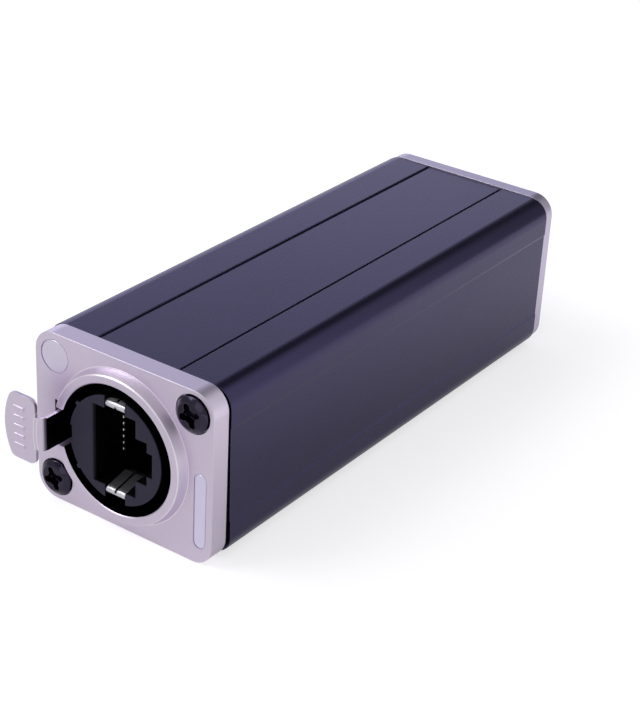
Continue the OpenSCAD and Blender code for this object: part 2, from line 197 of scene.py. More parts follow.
def make_edge_wear_and_sheen():
    """A mask that is 1 on sharp outer edges and fades within a small radius, for a lighter edge colour that
    is partly rubbed wear and partly painted highlight.
    """
    tree, start, end = new_effect("edge wear and sheen", [("Radius mm", FLOAT, 0.15)], [("Mask", FLOAT)])
    metres = new_tree_node(tree, "ShaderNodeMath", (-600, 0), operation="MULTIPLY")
    metres.inputs[1].default_value = MM
    round_off = new_tree_node(tree, "ShaderNodeBevel", (-400, 0), samples=4)
    surface = new_tree_node(tree, "ShaderNodeNewGeometry", (-400, -200))
    turn = new_tree_node(tree, "ShaderNodeVectorMath", (-200, 0), operation="DOT_PRODUCT")
    fade = new_tree_node(tree, "ShaderNodeMapRange", (0, 0))
    fade.inputs["From Min"].default_value = 0.99
    fade.inputs["From Max"].default_value = 0.8
    link = tree.links.new
    link(start.outputs["Radius mm"], metres.inputs[0])
    link(metres.outputs[0], round_off.inputs["Radius"])
    link(round_off.outputs["Normal"], turn.inputs[0])
    link(surface.outputs["Normal"], turn.inputs[1])
    link(turn.outputs["Value"], fade.inputs["Value"])
    link(fade.outputs["Result"], end.inputs["Mask"])
    return tree


def make_bore_shade():
    """A mask that is 1 inside the socket's bore, behind the collar's rim, and 0 outside."""
    tree, start, end = new_effect("bore shade", [("Bore radius mm", FLOAT, 9.6)], [("Mask", FLOAT)])
    place = new_tree_node(tree, "ShaderNodeTexCoord", (-800, 300))
    flat = new_tree_node(tree, "ShaderNodeVectorMath", (-600, 200), operation="MULTIPLY")
    flat.inputs[1].default_value = (1 / MM, 0, 1 / MM)
    radius = new_tree_node(tree, "ShaderNodeVectorMath", (-400, 200), operation="LENGTH")
    inside = new_tree_node(tree, "ShaderNodeMath", (-200, 100), operation="LESS_THAN")
    link = tree.links.new
    link(place.outputs["Object"], flat.inputs[0])
    link(flat.outputs[0], radius.inputs[0])
    link(radius.outputs["Value"], inside.inputs[0])
    link(start.outputs["Bore radius mm"], inside.inputs[1])
    link(inside.outputs[0], end.inputs["Mask"])
    return tree


def make_collar_painted_highlights():
    """A mask that is 1 on two thin rings, at the collar's foot and at its rim's outer edge, where painted
    highlights go.
    """
    tree, start, end = new_effect("collar painted highlights", [("Width mm", FLOAT, 0.1)], [("Mask", FLOAT)])
    place = new_tree_node(tree, "ShaderNodeTexCoord", (-1000, 300))
    flat = new_tree_node(tree, "ShaderNodeVectorMath", (-800, 200), operation="MULTIPLY")
    flat.inputs[1].default_value = (1 / MM, 0, 1 / MM)
    radius = new_tree_node(tree, "ShaderNodeVectorMath", (-600, 200), operation="LENGTH")
    half = new_tree_node(tree, "ShaderNodeMath", (-600, -100), operation="MULTIPLY")
    half.inputs[1].default_value = 0.5
    both = new_tree_node(tree, "ShaderNodeMath", (300, 0), operation="ADD", use_clamp=True)
    link = tree.links.new
    link(place.outputs["Object"], flat.inputs[0])
    link(flat.outputs[0], radius.inputs[0])
    link(start.outputs["Width mm"], half.inputs[0])
    for socket, ring_r in enumerate((COLLAR_FOOT_R + 0.08, COLLAR_RIM_R - 0.05)):
        ring = new_tree_node(tree, "ShaderNodeMath", (0, 200 - 200 * socket), operation="COMPARE")
        ring.inputs[1].default_value = ring_r
        link(radius.outputs["Value"], ring.inputs[0])
        link(half.outputs[0], ring.inputs[2])
        link(ring.outputs[0], both.inputs[socket])
    link(both.outputs[0], end.inputs["Mask"])
    return tree


def make_depth_shade():
    """A mask that is 1 deeper inside the part than a distance from its middle, and 0 outside."""
    tree, start, end = new_effect("depth shade", [
        ("Middle mm", FLOAT, 43.6), ("Reach mm", FLOAT, 45.0), ("Fade mm", FLOAT, 0.1)
    ], [("Mask", FLOAT)])
    place = new_tree_node(tree, "ShaderNodeTexCoord", (-1000, 300))
    axes = new_tree_node(tree, "ShaderNodeSeparateXYZ", (-800, 300))
    in_mm = new_tree_node(tree, "ShaderNodeMath", (-600, 300), operation="DIVIDE")
    in_mm.inputs[1].default_value = MM
    centred = new_tree_node(tree, "ShaderNodeMath", (-400, 300), operation="SUBTRACT")
    away = new_tree_node(tree, "ShaderNodeMath", (-200, 300), operation="ABSOLUTE")
    inner = new_tree_node(tree, "ShaderNodeMath", (-200, -100), operation="SUBTRACT")
    fade = new_tree_node(tree, "ShaderNodeMapRange", (100, 100))
    fade.inputs["To Min"].default_value = 1
    fade.inputs["To Max"].default_value = 0
    link = tree.links.new
    link(place.outputs["Object"], axes.inputs[0])
    link(axes.outputs["Y"], in_mm.inputs[0])
    link(in_mm.outputs[0], centred.inputs[0])
    link(start.outputs["Middle mm"], centred.inputs[1])
    link(centred.outputs[0], away.inputs[0])
    link(start.outputs["Reach mm"], inner.inputs[0])
    link(start.outputs["Fade mm"], inner.inputs[1])
    link(away.outputs[0], fade.inputs["Value"])
    link(inner.outputs[0], fade.inputs["From Min"])
    link(start.outputs["Reach mm"], fade.inputs["From Max"])
    link(fade.outputs["Result"], end.inputs["Mask"])
    return tree


def make_inner_side():
    """A mask that is 1 to the right of a limit across the part, and 0 to its left."""
    tree, start, end = new_effect("inner side", [("Limit mm", FLOAT, 0.0)], [("Mask", FLOAT)])
    place = new_tree_node(tree, "ShaderNodeTexCoord", (-800, 300))
    axes = new_tree_node(tree, "ShaderNodeSeparateXYZ", (-600, 300))
    in_mm = new_tree_node(tree, "ShaderNodeMath", (-400, 300), operation="DIVIDE")
    in_mm.inputs[1].default_value = MM
    beyond = new_tree_node(tree, "ShaderNodeMath", (-200, 100), operation="GREATER_THAN")
    link = tree.links.new
    link(place.outputs["Object"], axes.inputs[0])
    link(axes.outputs["X"], in_mm.inputs[0])
    link(in_mm.outputs[0], beyond.inputs[0])
    link(start.outputs["Limit mm"], beyond.inputs[1])
    link(beyond.outputs[0], end.inputs["Mask"])
    return tree


fine_grain = make_fine_grain()
drawn_lines = make_drawn_lines()
cloudy_tone = make_cloudy_tone()
edge_wear_and_sheen = make_edge_wear_and_sheen()
bore_shade = make_bore_shade()
depth_shade = make_depth_shade()
inner_side = make_inner_side()
collar_painted_highlights = make_collar_painted_highlights()


def add_effect(tree, effect, place, **values):
    """Places a shared effect in a material with its own values."""
    group = new_tree_node(tree, "ShaderNodeGroup", place)
    group.node_tree = effect
    for label, value in values.items():
        group.inputs[label.replace("_", " ")].default_value = value
    return group


def add_bump(tree, shader, height, depth_mm):
    """Feeds a height to the shader's normal, as deep as depth_mm."""
    bump = new_tree_node(tree, "ShaderNodeBump", (0, -400))
    bump.inputs["Strength"].default_value = 1.0
    bump.inputs["Distance"].default_value = depth_mm * MM
    tree.links.new(height, bump.inputs["Height"])
    tree.links.new(bump.outputs["Normal"], shader.inputs["Normal"])


def mix_color(tree, mask, under, over, place):
    """A colour that goes from under to over as the mask goes from 0 to 1."""
    mix = new_tree_node(tree, "ShaderNodeMix", place, data_type="RGBA")
    tree.links.new(mask, mix.inputs["Factor"])
    for value, slot in ((under, 6), (over, 7)):
        if isinstance(value, tuple):
            mix.inputs[slot].default_value = value
        else:
            tree.links.new(value, mix.inputs[slot])
    return mix.outputs[2]


# Finishes

# Near black: the seal rubber's own colour, and painted black shade on the shells, levers and inner moulding.
NEAR_BLACK_AND_PAINTED_SHADE = (0.003, 0.003, 0.004, 1)
NICKEL = ((0.79, 0.703, 0.84, 1), (0.755, 0.675, 0.80, 1))
# Rear shell nickel: the same plating darkened as painted shade.
PAINTED_SHADE_REAR_NICKEL = ((0.62, 0.567, 0.69, 1), (0.59, 0.54, 0.66, 1))
COLLAR_PAINTED_HIGHLIGHT_TONE = (1, 0.96, 1, 1)
face_reach = middle_y - insert_low_y


def start_finish(name, shades, tone_mm, grain_mm, roughness, spread):
    """A material with a drifting tone and a fine grain on its shader.

    Gives the material, its tree, its shader, and the tone's colour and the grain's height to go on from.
    """
    material, tree, shader = new_material(name)
    tone = add_effect(tree, cloudy_tone, (-1000, 300), Size_mm=tone_mm)
    tone.inputs["Shade A"].default_value = shades[0]
    tone.inputs["Shade B"].default_value = shades[1]
    grain = add_effect(tree, fine_grain, (-400, -250), Size_mm=grain_mm, Roughness=roughness, Spread=spread)
    tree.links.new(tone.outputs["Color"], shader.inputs["Base Color"])
    tree.links.new(grain.outputs["Roughness"], shader.inputs["Roughness"])
    return material, tree, shader, tone.outputs["Color"], grain.outputs["Height"]


def make_black_anodised():
    """The extruded housing: near-black, satin, with fine lines along its length."""
    material, tree, shader, tone, _ = start_finish(
        "black anodised aluminium", ((0.061, 0.052, 0.113, 1), (0.054, 0.045, 0.100, 1)),
        tone_mm=9.0, grain_mm=0.25, roughness=0.27, spread=0.05
    )
    # The lighter edge colour is partly rubbed wear and partly painted highlight.
    edge = add_effect(tree, edge_wear_and_sheen, (-400, 0), Radius_mm=0.12)
    lines = add_effect(tree, drawn_lines, (-200, -400), Spacing_mm=0.12, Length_mm=60.0)
    color = mix_color(tree, edge.outputs["Mask"], tone, (0.15, 0.135, 0.21, 1), (0, 200))
    tree.links.new(color, shader.inputs["Base Color"])
    add_bump(tree, shader, lines.outputs["Line"], 0.0015)
    shader.inputs["Metallic"].default_value = 1.0
    return material


def make_nickel(name, shades, shaded):
    """Satin nickel plating with painted highlights on the collar's two thin rings, and painted black shade
    where the shaded mask says so.
    """
    material, tree, shader, tone, height = start_finish(
        name, shades, tone_mm=5.0, grain_mm=0.12, roughness=0.40, spread=0.05
    )
    # Painted highlights on the collar's rings, then painted black shade where the shaded mask is 1.
    lines = add_effect(tree, collar_painted_highlights, (-600, 450))
    bright = mix_color(tree, lines.outputs["Mask"], tone, COLLAR_PAINTED_HIGHLIGHT_TONE, (-400, 300))
    color = mix_color(tree, shaded(tree), bright, NEAR_BLACK_AND_PAINTED_SHADE, (-200, 200))
    tree.links.new(color, shader.inputs["Base Color"])
    add_bump(tree, shader, height, 0.002)
    shader.inputs["Metallic"].default_value = 1.0
    return material


def bore_painted_shade(tree):
    """Painted black shade on the shells inside the bore."""
    bore = add_effect(tree, bore_shade, (-600, 100))
    bore.inputs["Bore radius mm"].default_value = bore_r + FOOT_GAP
    return bore.outputs["Mask"]


def strap_painted_shade(tree):
    """Painted black shade on the levers, on the inner face of the strap and round the bend in front of it."""
    link = tree.links.new
    either = new_tree_node(tree, "ShaderNodeMath", (-300, 50), operation="MAXIMUM")
    face = (strap_face_x - 0.04, strap_bend_y - 0.2, None, 0.15)
    bend = (strap_face_x - 0.35, strap_bend_y - 0.75, strap_bend_y, 0.7)
    for socket, (limit_x, low_y, high_y, fade) in enumerate((face, bend)):
        height = 200 - 300 * socket
        inner = add_effect(tree, inner_side, (-1000, height), Limit_mm=limit_x)
        behind = add_effect(tree, depth_shade, (-1000, height - 100), Middle_mm=middle_y, Fade_mm=fade)
        behind.inputs["Reach mm"].default_value = middle_y - low_y
        both = new_tree_node(tree, "ShaderNodeMath", (-700, height), operation="MULTIPLY")
        link(inner.outputs["Mask"], both.inputs[0])
        link(behind.outputs["Mask"], both.inputs[1])
        if high_y is not None:
            strap = add_effect(tree, depth_shade, (-1000, height - 200), Middle_mm=middle_y, Fade_mm=0.01)
            strap.inputs["Reach mm"].default_value = middle_y - high_y
            before = new_tree_node(
                tree, "ShaderNodeMath", (-500, height), operation="SUBTRACT", use_clamp=True
            )
            link(both.outputs[0], before.inputs[0])
            link(strap.outputs["Mask"], before.inputs[1])
            both = before
        link(both.outputs[0], either.inputs[socket])
    return either.outputs[0]


def make_black_moulding(name, shades, deep, reach_mm, roughness):
    """Moulded black plastic: its outer faces a little paler than its walls deep inside, which carry painted
    shade.
    """
    material, tree, shader, tone, height = start_finish(
        name, shades, tone_mm=3.0, grain_mm=0.08, roughness=roughness, spread=0.08
    )
    # Painted shade: the deep colour darkens the walls deep inside the part.
    inside = add_effect(tree, depth_shade, (-600, 50), Middle_mm=middle_y, Reach_mm=reach_mm, Fade_mm=0.15)
    color = mix_color(tree, inside.outputs["Mask"], tone, deep, (-200, 200))
    tree.links.new(color, shader.inputs["Base Color"])
    add_bump(tree, shader, height, 0.004)
    shader.inputs["Specular IOR Level"].default_value = 0.12
    return material


def make_seal_rubber():
    """The wedge seal behind the front flange."""
    material, tree, shader, _, height = start_finish(
        "seal rubber", (NEAR_BLACK_AND_PAINTED_SHADE, (0.002, 0.002, 0.002, 1)),
        tone_mm=1.5, grain_mm=0.06, roughness=0.85, spread=0.1
    )
    add_bump(tree, shader, height, 0.006)
    shader.inputs["Specular IOR Level"].default_value = 0.05
    return material


def make_spring_sheet():
    """Rolled spring sheet: bright on the hooks, with painted shade darkening the leaves and painted black
    shade behind the insert's rim.
    """
    material, tree, shader, tone, _ = start_finish(
        "rolled spring sheet", ((0.90, 0.89, 0.92, 1), (0.66, 0.65, 0.70, 1)),
        tone_mm=0.8, grain_mm=0.08, roughness=0.33, spread=0.1
    )
    # Painted black shade outside the hooks, behind the insert's rim.
    lit = add_effect(tree, bore_shade, (-600, 100))
    lit.inputs["Bore radius mm"].default_value = HOOK_OUT_R
    # Painted shade darkens the leaves behind the hooks.
    leaf = add_effect(tree, depth_shade, (-800, 450), Middle_mm=middle_y, Fade_mm=0.7)
    leaf.inputs["Reach mm"].default_value = face_reach - 0.2
    sheet = mix_color(tree, leaf.outputs["Mask"], tone, (0.24, 0.235, 0.26, 1), (-400, 400))
    color = mix_color(tree, lit.outputs["Mask"], (0.01, 0.01, 0.012, 1), sheet, (-200, 200))
    lines = add_effect(tree, drawn_lines, (-600, -100), Spacing_mm=0.07, Length_mm=2.5)
    tree.links.new(color, shader.inputs["Base Color"])
    add_bump(tree, shader, lines.outputs["Line"], 0.02)
    shader.inputs["Metallic"].default_value = 0.85
    return material


def make_plain_metal(name, shades, tone_mm, grain_mm, roughness, bump_mm):
    """A metal finish with its tone and grain only."""
    material, tree, shader, _, height = start_finish(
        name, shades, tone_mm=tone_mm, grain_mm=grain_mm, roughness=roughness, spread=0.05
    )
    add_bump(tree, shader, height, bump_mm)
    shader.inputs["Metallic"].default_value = 1.0
    return material


def make_contact_wire():
    """Contact wires: bright plating up to the bend, with painted shade making them near black behind it."""
    material, tree, shader, tone, height = start_finish(
        "plated contact wire", ((1.0, 0.98, 0.95, 1), (0.97, 0.94, 0.88, 1)),
        tone_mm=0.6, grain_mm=0.05, roughness=0.35, spread=0.05
    )
    # Painted shade: the wires turn near black behind the bend.
    inside = add_effect(tree, depth_shade, (-600, 50), Middle_mm=middle_y, Fade_mm=0.1)
    inside.inputs["Reach mm"].default_value = middle_y - wire_bend_y - 0.1
    color = mix_color(tree, inside.outputs["Mask"], tone, (0.012, 0.010, 0.008, 1), (-200, 200))
    tree.links.new(color, shader.inputs["Base Color"])
    add_bump(tree, shader, height, 0.001)
    shader.inputs["Metallic"].default_value = 1.0
    return material


def make_black_steel():
    """Blackened screws with a thin oil gloss."""
    material, tree, shader, tone, height = start_finish(
        "blackened steel", ((0.056, 0.048, 0.074, 1), (0.040, 0.034, 0.054, 1)),
        tone_mm=1.0, grain_mm=0.1, roughness=0.13, spread=0.04
    )
    # The lighter edge colour is partly rubbed wear and partly painted highlight.
    edge = add_effect(tree, edge_wear_and_sheen, (-400, 50), Radius_mm=0.08)
    color = mix_color(tree, edge.outputs["Mask"], tone, (0.12, 0.105, 0.15, 1), (0, 200))
    tree.links.new(color, shader.inputs["Base Color"])
    add_bump(tree, shader, height, 0.003)
    shader.inputs["Metallic"].default_value = 1.0
    return material


def make_board():
    """The circuit board: green lacquer over glass cloth."""
    material, tree, shader = new_material("green lacquered board")
    tone = add_effect(tree, cloudy_tone, (-400, 300), Size_mm=2.0)
    tone.inputs["Shade A"].default_value = (0.012, 0.085, 0.035, 1)
    tone.inputs["Shade B"].default_value = (0.008, 0.06, 0.026, 1)
    cloth = add_effect(tree, drawn_lines, (-400, -200), Spacing_mm=0.3, Length_mm=0.3)
    tree.links.new(tone.outputs["Color"], shader.inputs["Base Color"])
    shader.inputs["Roughness"].default_value = 0.25
    add_bump(tree, shader, cloth.outputs["Line"], 0.01)
    return material


finishes = {
    "black_anodised": make_black_anodised(),
    "nickel": make_nickel("satin nickel", NICKEL, bore_painted_shade),
    # Each deep colour below is the painted shade on walls deep inside.
    "black_plastic": make_black_moulding(
        "black moulded insert", ((0.046, 0.042, 0.069, 1), (0.040, 0.036, 0.060, 1)),
        deep=(0.0008, 0.0008, 0.001, 1), reach_mm=face_reach - 0.05, roughness=0.55
    ),
    "dark_plastic": make_black_moulding(
        "black inner moulding", ((0.010, 0.010, 0.012, 1), (0.007, 0.007, 0.009, 1)),
        deep=NEAR_BLACK_AND_PAINTED_SHADE, reach_mm=face_reach - 6, roughness=0.6
    ),
    "seal_rubber": make_seal_rubber(),
    "spring_steel": make_spring_sheet(),
    "pin_steel": make_plain_metal(
        "ground pin steel", ((0.50, 0.50, 0.52, 1), (0.42, 0.42, 0.45, 1)),
        tone_mm=1.0, grain_mm=0.06, roughness=0.25, bump_mm=0.001
    ),
    "black_steel": make_black_steel(),
    "board": make_board(),
    "gold": make_contact_wire(),
}


def slot_for(name):
    """The record's material slot that a node of this name carries."""
    if name == "body_tube":
        return "black_anodised"
    if name == "front_gasket":
        return "seal_rubber"
    if name == "link_board":
        return "board"
    for word, slot in (
        ("shell", "nickel"), ("latch_pin", "pin_steel"), ("latch_spring", "spring_steel"),
        ("latch", "nickel"), ("insert", "black_plastic"), ("cover", "dark_plastic"),
        ("holder", "dark_plastic"),
        ("spring", "spring_steel"), ("screw", "black_steel"), ("contact", "gold"),
    ):
        if word in name:
            return slot


lever_nickel = make_nickel("satin nickel lever", NICKEL, strap_painted_shade)
own_finish = {
    "front_latch": lever_nickel,
    "rear_latch": lever_nickel,
    # The rear shell's nickel is darkened as painted shade.
    "rear_shell": make_nickel("satin nickel rear", PAINTED_SHADE_REAR_NICKEL, bore_painted_shade),
}
for name, piece in nodes.items():
    finish = own_finish.get(name) or finishes[slot_for(name)]
    for material_slot in piece.material_slots:
        material_slot.material = finish


# Rounded edges on the CAD pieces

EDGE_WEIGHT = "bevel_weight_edge"


def make_edge_marks(name, sharp_deg, weight, rings=(), outline=None):
    """A node tree that marks how much each sharp edge is rounded.

    A ring gives two radii round the part's axis and the weight between them. The outline gives a
    flange's half sizes, its corner radius and the weight of the edges along it.
    """
    tree = bpy.data.node_groups.new(name, "GeometryNodeTree")
    tree.interface.new_socket("Geometry", in_out="INPUT", socket_type="NodeSocketGeometry")
    tree.interface.new_socket("Geometry", in_out="OUTPUT", socket_type="NodeSocketGeometry")
    start = new_tree_node(tree, "NodeGroupInput", (-1200, 0))
    end = new_tree_node(tree, "NodeGroupOutput", (600, 0))
    link = tree.links.new

    def number(operation, a, b):
        node = new_tree_node(tree, "ShaderNodeMath", (0, 0), operation=operation)
        for slot, value in ((0, a), (1, b)):
            if isinstance(value, (int, float)):
                node.inputs[slot].default_value = value
            else:
                link(value, node.inputs[slot])
        return node.outputs[0]

    def vector(operation, a, b=None):
        node = new_tree_node(tree, "ShaderNodeVectorMath", (0, 0), operation=operation)
        for slot, value in ((0, a), (1, b)):
            if isinstance(value, tuple):
                node.inputs[slot].default_value = value
            elif value is not None:
                link(value, node.inputs[slot])
        return node.outputs["Value"] if operation == "LENGTH" else node.outputs[0]

    def choose(mask, no, yes):
        return number("ADD", no, number("MULTIPLY", mask, number("SUBTRACT", yes, no)))

    place = new_tree_node(tree, "GeometryNodeInputPosition", (-1200, 300))
    across = vector("MULTIPLY", place.outputs[0], (1 / MM, 0, 1 / MM))
    radius = vector("LENGTH", across)
    amount = float(weight)
    for low, high, ring_weight in rings:
        inside = number("MULTIPLY", number("GREATER_THAN", radius, low), number("LESS_THAN", radius, high))
        amount = choose(inside, amount, ring_weight)
    if outline:
        half_w, half_h, corner_r, outline_weight = outline
        corner = vector("SUBTRACT", vector("ABSOLUTE", across), (half_w - corner_r, 0, half_h - corner_r))
        reach = vector("LENGTH", vector("MAXIMUM", corner, (0, 0, 0)))
        amount = choose(number("GREATER_THAN", reach, corner_r - 0.08), amount, outline_weight)
    fold = new_tree_node(tree, "GeometryNodeInputMeshEdgeAngle", (-1200, -300))
    sharp = number("GREATER_THAN", fold.outputs["Unsigned Angle"], math.radians(sharp_deg))
    store = new_tree_node(tree, "GeometryNodeStoreNamedAttribute", (300, 0), data_type="FLOAT", domain="EDGE")
    store.inputs["Name"].default_value = EDGE_WEIGHT
    link(start.outputs[0], store.inputs["Geometry"])
    link(number("MULTIPLY", sharp, amount), store.inputs["Value"])
    link(store.outputs[0], end.inputs[0])
    return tree


def round_edges(name, radius_mm, marks, segments=3):
    """Joins the flat faces of a node again and rounds its sharp edges as its marks say."""
    piece = nodes[name]
    weld = piece.modifiers.new("weld", "WELD")
    weld.merge_threshold = 0.0005 * MM
    flat = piece.modifiers.new("flat faces", "DECIMATE")
    flat.decimate_type = "DISSOLVE"
    flat.angle_limit = math.radians(0.3)
    marking = piece.modifiers.new("edge marks", "NODES")
    marking.node_group = marks
    edge = piece.modifiers.new("rounded edges", "BEVEL")
    edge.width = radius_mm * MM
    edge.segments = segments
    edge.limit_method = "WEIGHT"
    edge.miter_outer = "MITER_ARC"
    edge.loop_slide = False
    edge.use_clamp_overlap = True
    shade = piece.modifiers.new("even shading", "WEIGHTED_NORMAL")
    shade.keep_sharp = True


shell_high = box_mm("front_shell")[1]
FLANGE_CORNER_R = 3.3
shell_marks = make_edge_marks(
    "shell edge marks", 20, 0.25,
    rings=((COLLAR_FOOT_R - 0.1, COLLAR_FOOT_R + 0.2, 0.1), (0, COLLAR_FOOT_R - 0.1, 0.15)),
    outline=(shell_high[0], shell_high[2], FLANGE_CORNER_R, 1.0)
)
plain_marks = make_edge_marks("plain edge marks", 25, 1.0)
for end in ENDS:
    round_edges(f"{end}_shell", 0.36, shell_marks, 4)
    round_edges(f"{end}_latch", 0.08, plain_marks, 2)
    round_edges(f"{end}_insert", 0.05, plain_marks, 2)
    for side in ("upper", "lower"):
        round_edges(f"{end}_screw_{side}", 0.1, plain_marks)
        round_edges(f"{end}_spring_{side}", 0.04, plain_marks, 2)
    for i in range(1, 9):
        round_edges(f"{end}_contact_{i}", 0.06, plain_marks, 2)
round_edges("body_tube", 0.1, plain_marks, 2)


# Inlays in the flanges' marks

INLAY_GAP = 0.15
INLAY_SINK = 0.04
INLAY_EDGE = 0.04
MARK_DEPTH = 0.2
ROUND_MARK = (-12.0, 9.5, 5.0, 5.0)
LABEL_GROOVE = (13.425, -4.75, 2.1, 11.6)
ARC_STEPS = 32


def make_inlay_finish(name, shades):
    """Pale clear-lacquered metal, a little bluer than the flange round it."""
    return make_plain_metal(name, shades, tone_mm=3.0, grain_mm=0.1, roughness=0.38, bump_mm=0.002)


def outline_mm(w, l, inset):
    """A standing slot with round ends, or a circle where both sizes match, drawn inside by an inset."""
    r = w / 2 - inset
    points = []
    for centre, start in (((l - w) / 2, 0), ((w - l) / 2, math.pi)):
        for i in range(ARC_STEPS + 1):
            a = start + math.pi * i / ARC_STEPS
            points.append((r * math.cos(a), centre + r * math.sin(a)))
    return points


def make_inlay(end, name, mark, finish):
    """A thin plate lying in a mark of the flange face, with a narrow gap round it."""
    x, z, w, l = mark
    rows = [
        (MARK_DEPTH, INLAY_GAP), (INLAY_SINK + INLAY_EDGE, INLAY_GAP), (INLAY_SINK, INLAY_GAP + INLAY_EDGE)
    ]
    points, faces = [], []
    for y, inset in rows:
        points += [(x + px, y, z + pz) for px, pz in outline_mm(w, l, inset)]
    n = len(points) // len(rows)
    for row in range(len(rows) - 1):
        for i in range(n):
            j = (i + 1) % n
            faces.append((row * n + i, row * n + j, (row + 1) * n + j, (row + 1) * n + i))
    faces.append(tuple(range(n)))
    faces.append(tuple(range(3 * n - 1, 2 * n - 1, -1)))
    if end == "rear":
        points = [(px, 2 * middle_y - py, -pz) for px, py, pz in points]
    mesh = bpy.data.meshes.new(f"{end}_{name}")
    mesh.from_pydata([[c * MM for c in p] for p in points], [], faces)
    shape = bmesh.new()
    shape.from_mesh(mesh)
    bmesh.ops.remove_doubles(shape, verts=shape.verts, dist=0.0001 * MM)
    bmesh.ops.recalc_face_normals(shape, faces=shape.faces)
    shape.to_mesh(mesh)
    shape.free()
    mesh.materials.append(finish)
    inlay = bpy.data.objects.new(f"{end}_{name}", mesh)
    bpy.context.scene.collection.objects.link(inlay)
    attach(inlay, "housing")


INLAYS = {
    ("front", "round_inlay"): (ROUND_MARK, ((0.81, 0.75, 0.89, 1), (0.78, 0.72, 0.86, 1))),
    ("front", "label_inlay"): (LABEL_GROOVE, ((0.85, 0.81, 1.0, 1), (0.82, 0.78, 0.97, 1))),
    # The rear inlays are the front finish darkened as painted shade.
    ("rear", "round_inlay"): (ROUND_MARK, ((0.66, 0.61, 0.73, 1), (0.63, 0.58, 0.70, 1))),
    ("rear", "label_inlay"): (LABEL_GROOVE, ((0.67, 0.63, 0.79, 1), (0.64, 0.60, 0.76, 1))),
}
for (end, name), (mark, shades) in INLAYS.items():
    make_inlay(end, name, mark, make_inlay_finish(f"pale {name} {end}", shades))


# Leaf springs behind the levers


def make_leaf_spring(end):
    """A copy of a lever's leaf spring, welded and flat-shaded, riding on the housing in place of its hidden
    node.
    """
    node = f"{end}_latch_spring"
    mesh = nodes[node].data.copy()
    mesh.name = f"{end}_leaf_spring"
    shape = bmesh.new()
    shape.from_mesh(mesh)
    bmesh.ops.remove_doubles(shape, verts=shape.verts, dist=0.0001 * MM)
    for face in shape.faces:
        face.smooth = False
    shape.to_mesh(mesh)
    shape.free()
    leaf = bpy.data.objects.new(f"{end}_leaf_spring", mesh)
    bpy.context.scene.collection.objects.link(leaf)
    mesh.materials.clear()
    mesh.materials.append(finishes["spring_steel"])
    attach(leaf, "housing")
    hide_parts(node)
    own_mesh(leaf)


for end in ENDS:
    make_leaf_spring(end)


# Camera

cam_az, cam_el, cam_roll = (math.radians(a) for a in (34.345, 28.048, 3.145))
CAM_PLACE_MM = (137.784, -156.010, 124.880)
FOCAL_PX = 1804.49
PHOTO_H_PX = 719
SENSOR_MM = 36.0

back = Vector((math.sin(cam_az) * math.cos(cam_el), -math.cos(cam_az) * math.cos(cam_el), math.sin(cam_el)))
level_right = Vector((math.cos(cam_az), math.sin(cam_az), 0))
level_up = back.cross(level_right)
right = math.cos(cam_roll) * level_right + math.sin(cam_roll) * level_up
up = math.cos(cam_roll) * level_up - math.sin(cam_roll) * level_right
lens = bpy.data.cameras.new("camera")
lens.lens = FOCAL_PX * SENSOR_MM / PHOTO_H_PX
lens.sensor_width = SENSOR_MM
lens.clip_start = 0.005
camera = bpy.data.objects.new("camera", lens)
bpy.context.scene.collection.objects.link(camera)
turn = Matrix((right, up, back)).transposed().to_4x4()
camera.matrix_world = Matrix.Translation(Vector(CAM_PLACE_MM) * MM) @ turn
bpy.context.scene.camera = camera


# Floor

FLOOR_REACH = 4.0
PAPER_TONE = (0.60, 0.60, 0.61, 1)
GLOW_TO_CAMERA = 0.65
# Painted reflection: the floor's glow for mirrored rays rises away to the right of the part, with painted
# shade near it.
GLOW_SLOPE = (1 / MM, 0.3 / MM, 0)
GLOW_FROM_MM, GLOW_TO_MM = 36, 62
GLOW_LOW, GLOW_HIGH = 0.275, 0.54
PAINTED_SHADE_SPOT = (-0.019, -0.032)
PAINTED_SHADE_SPOT_MM = (5, 14)


